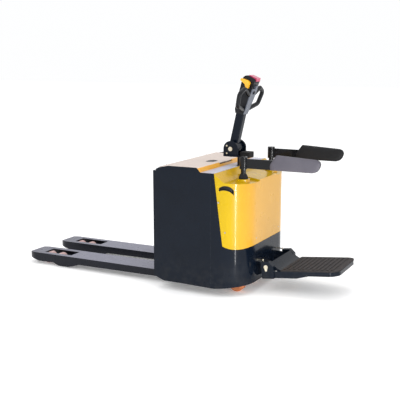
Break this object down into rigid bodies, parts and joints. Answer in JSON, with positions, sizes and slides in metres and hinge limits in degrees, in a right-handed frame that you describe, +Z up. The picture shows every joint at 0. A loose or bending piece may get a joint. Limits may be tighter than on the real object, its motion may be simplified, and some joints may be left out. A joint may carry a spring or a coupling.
{
  "type": "electric pallet truck",
  "caption": "Electric rider pallet truck with long low forks on tandem rollers, boxy battery body, glossy hood, upright tiller, folding step platform and swing-out side guards",
  "frame": {"origin": "on the floor under the middle of the bounding box", "axes": "+X from the fork tips to the operator platform, +Y to the truck's left, +Z up"},
  "size_m": [2.2891, 0.813, 1.3499],
  "materials": {
    "charcoal_paint": "satin powder coat",
    "yellow_cover": "glossy moulded cover",
    "beige_lid": "matte moulded lid",
    "orange_strip": "satin paint",
    "grey_band": "satin paint",
    "black_plastic": "fine grained plastic",
    "grey_plastic": "fine grained plastic",
    "throttle_yellow": "glossy plastic",
    "button_red": "glossy plastic",
    "black_rubber": "matte rubber",
    "pad_foam": "grained skin over foam",
    "roller_polyurethane": "dusty cast polyurethane",
    "caster_polyurethane": "cast polyurethane",
    "steel": "machined and oiled",
    "zinc": "zinc plated",
    "aluminium": "cast and finned",
    "cast_iron": "painted casting",
    "battery_case": "coated case with plastic caps"
  },
  "bodies": {
    "chassis": {"front_wall": "charcoal_paint", "rear_skirt": "charcoal_paint", "side_panel_left": "charcoal_paint", "side_panel_right": "charcoal_paint", "battery_bay": "charcoal_paint", "drive_deck": "charcoal_paint", "hood": "yellow_cover", "hood_grips": "black_plastic", "hood_screws": "steel", "dash_panel": "grey_band", "lid_step": "orange_strip", "battery": "battery_case", "hydraulic_unit": "aluminium", "motor_controller": "aluminium", "lift_cylinders": "steel", "guard_posts": "charcoal_paint", "post_boots": "black_rubber", "platform_bracket": "charcoal_paint"},
    "fork_carriage": {"carriage_plate": "charcoal_paint", "fork_left": "charcoal_paint", "fork_right": "charcoal_paint", "piston_rods": "steel"},
    "steering": {"drive_unit": "cast_iron", "traction_motor": "cast_iron", "steering_column": "charcoal_paint", "tiller_base": "charcoal_paint", "tiller_bumper": "black_rubber"},
    "drive_wheel": {"drive_hub": "cast_iron", "drive_tyre": "caster_polyurethane"},
    "tiller": {"tiller_arm": "charcoal_paint", "pivot_bolt": "zinc", "tiller_head": "black_plastic", "head_fascia": "grey_plastic", "grip_loops": "black_plastic"},
    "throttle": {"throttle": "throttle_yellow"},
    "belly_button": {"belly_button": "button_red"},
    "horn_button": {"horn_button": "black_plastic"},
    "lift_rocker": {"lift_rocker": "grey_plastic"},
    "platform": {"platform_frame": "charcoal_paint", "platform_mat": "black_rubber", "hinge_caps": "zinc"},
    "battery_lid": {"battery_lid": "beige_lid"},
    "load_arm_left": {"load_arm_left": "charcoal_paint"},
    "bogie_left": {"bogie_left": "steel"},
    "load_roller_left_front": {"load_roller_left_front": "roller_polyurethane"},
    "load_roller_left_rear": {"load_roller_left_rear": "roller_polyurethane"},
    "pull_rod_left": {"pull_rod_left": "steel"},
    "guard_left": {"guard_arm_left": "charcoal_paint", "guard_pad_left": "pad_foam"},
    "caster_left": {"caster_fork_left": "zinc"},
    "caster_wheel_left": {"caster_wheel_left": "caster_polyurethane"},
    "load_arm_right": {"load_arm_right": "charcoal_paint"},
    "bogie_right": {"bogie_right": "steel"},
    "load_roller_right_front": {"load_roller_right_front": "roller_polyurethane"},
    "load_roller_right_rear": {"load_roller_right_rear": "roller_polyurethane"},
    "pull_rod_right": {"pull_rod_right": "steel"},
    "guard_right": {"guard_arm_right": "charcoal_paint", "guard_pad_right": "pad_foam"},
    "caster_right": {"caster_fork_right": "zinc"},
    "caster_wheel_right": {"caster_wheel_right": "caster_polyurethane"}
  },
  "joints": [
    {"name": "fork_lift", "type": "slide", "parent": "chassis", "child": "fork_carriage", "axis": [0, 0, 1], "range_m": [0, 0.12]},
    {"name": "load_arm_left_swing", "type": "hinge", "parent": "fork_carriage", "child": "load_arm_left", "pos_m": [-0.78602, 0.1825, 0.056], "axis": [0, -1, 0], "range_deg": [0, 48.02]},
    {"name": "bogie_left_rock", "type": "hinge", "parent": "load_arm_left", "child": "bogie_left", "pos_m": [-0.95602, 0.1825, 0.037], "axis": [0, 1, 0], "range_deg": [0, 48.02]},
    {"name": "pull_rod_left_slide", "type": "slide", "parent": "fork_carriage", "child": "pull_rod_left", "axis": [1, 0, 0], "range_m": [0, 0.02397]},
    {"name": "load_roller_left_front_spin", "type": "hinge", "parent": "bogie_left", "child": "load_roller_left_front", "pos_m": [-1.00302, 0.1825, 0.037], "axis": [0, 1, 0], "continuous": true},
    {"name": "load_roller_left_rear_spin", "type": "hinge", "parent": "bogie_left", "child": "load_roller_left_rear", "pos_m": [-0.90902, 0.1825, 0.037], "axis": [0, 1, 0], "continuous": true},
    {"name": "load_arm_right_swing", "type": "hinge", "parent": "fork_carriage", "child": "load_arm_right", "pos_m": [-0.78602, -0.1825, 0.056], "axis": [0, -1, 0], "range_deg": [0, 48.02]},
    {"name": "bogie_right_rock", "type": "hinge", "parent": "load_arm_right", "child": "bogie_right", "pos_m": [-0.95602, -0.1825, 0.037], "axis": [0, 1, 0], "range_deg": [0, 48.02]},
    {"name": "pull_rod_right_slide", "type": "slide", "parent": "fork_carriage", "child": "pull_rod_right", "axis": [1, 0, 0], "range_m": [0, 0.02397]},
    {"name": "load_roller_right_front_spin", "type": "hinge", "parent": "bogie_right", "child": "load_roller_right_front", "pos_m": [-1.00302, -0.1825, 0.037], "axis": [0, 1, 0], "continuous": true},
    {"name": "load_roller_right_rear_spin", "type": "hinge", "parent": "bogie_right", "child": "load_roller_right_rear", "pos_m": [-0.90902, -0.1825, 0.037], "axis": [0, 1, 0], "continuous": true},
    {"name": "steer", "type": "hinge", "parent": "chassis", "child": "steering", "pos_m": [0.41298, 0, 0.27], "axis": [0, 0, 1], "range_deg": [-90, 90]},
    {"name": "drive_wheel_spin", "type": "hinge", "parent": "steering", "child": "drive_wheel", "pos_m": [0.41298, 0, 0.115], "axis": [0, 1, 0], "continuous": true},
    {"name": "tiller_lower", "type": "hinge", "parent": "steering", "child": "tiller", "pos_m": [0.37198, 0, 0.883], "axis": [0, 1, 0], "range_deg": [0, 65], "stiffness_Nm_per_rad": 28, "springref_deg": -51.57},
    {"name": "throttle_turn", "type": "hinge", "parent": "tiller", "child": "throttle", "pos_m": [0.47398, 0, 1.30489], "axis": [0, 1, 0], "range_deg": [-25, 25], "stiffness_Nm_per_rad": 0.8},
    {"name": "belly_button_push", "type": "slide", "parent": "tiller", "child": "belly_button", "axis": [-0.2215, 0, -0.9751], "range_m": [0, 0.006], "stiffness_N_per_m": 900, "springref_m": -0.003},
    {"name": "horn_button_push", "type": "slide", "parent": "tiller", "child": "horn_button", "axis": [-0.9299, 0, 0.3679], "range_m": [0, 0.0055], "stiffness_N_per_m": 500, "springref_m": -0.003},
    {"name": "lift_rocker_tip", "type": "hinge", "parent": "tiller", "child": "lift_rocker", "pos_m": [0.50959, 0, 1.27629], "axis": [0, 1, 0], "range_deg": [-9, 9], "stiffness_Nm_per_rad": 0.3},
    {"name": "guard_left_swing", "type": "hinge", "parent": "chassis", "child": "guard_left", "pos_m": [0.53398, 0.225, 0.79], "axis": [0, 0, 1], "range_deg": [0, 130]},
    {"name": "guard_right_swing", "type": "hinge", "parent": "chassis", "child": "guard_right", "pos_m": [0.53398, -0.225, 0.79], "axis": [0, 0, -1], "range_deg": [0, 130]},
    {"name": "platform_fold", "type": "hinge", "parent": "chassis", "child": "platform", "pos_m": [0.68298, 0, 0.17], "axis": [0, -1, 0], "range_deg": [-6, 80]},
    {"name": "caster_left_swivel", "type": "hinge", "parent": "chassis", "child": "caster_left", "pos_m": [0.46598, 0.215, 0.16], "axis": [0, 0, 1], "continuous": true},
    {"name": "caster_wheel_left_spin", "type": "hinge", "parent": "caster_left", "child": "caster_wheel_left", "pos_m": [0.49598, 0.215, 0.052], "axis": [0, 1, 0], "continuous": true},
    {"name": "caster_right_swivel", "type": "hinge", "parent": "chassis", "child": "caster_right", "pos_m": [0.46598, -0.215, 0.16], "axis": [0, 0, 1], "continuous": true},
    {"name": "caster_wheel_right_spin", "type": "hinge", "parent": "caster_right", "child": "caster_wheel_right", "pos_m": [0.49598, -0.215, 0.052], "axis": [0, 1, 0], "continuous": true},
    {"name": "lid_open", "type": "hinge", "parent": "chassis", "child": "battery_lid", "pos_m": [0.04198, 0, 0.788], "axis": [0, 1, 0], "range_deg": [-80, 0]}
  ],
  "couplings": [
    {"joint": "load_arm_left_swing", "follows": "fork_lift", "rad_per_m": 6.9773},
    {"joint": "bogie_left_rock", "follows": "fork_lift", "rad_per_m": 6.9773},
    {"joint": "pull_rod_left_slide", "follows": "fork_lift", "ratio": 0.19809},
    {"joint": "load_arm_right_swing", "follows": "fork_lift", "rad_per_m": 6.9773},
    {"joint": "bogie_right_rock", "follows": "fork_lift", "rad_per_m": 6.9773},
    {"joint": "pull_rod_right_slide", "follows": "fork_lift", "ratio": 0.19809}
  ]
}
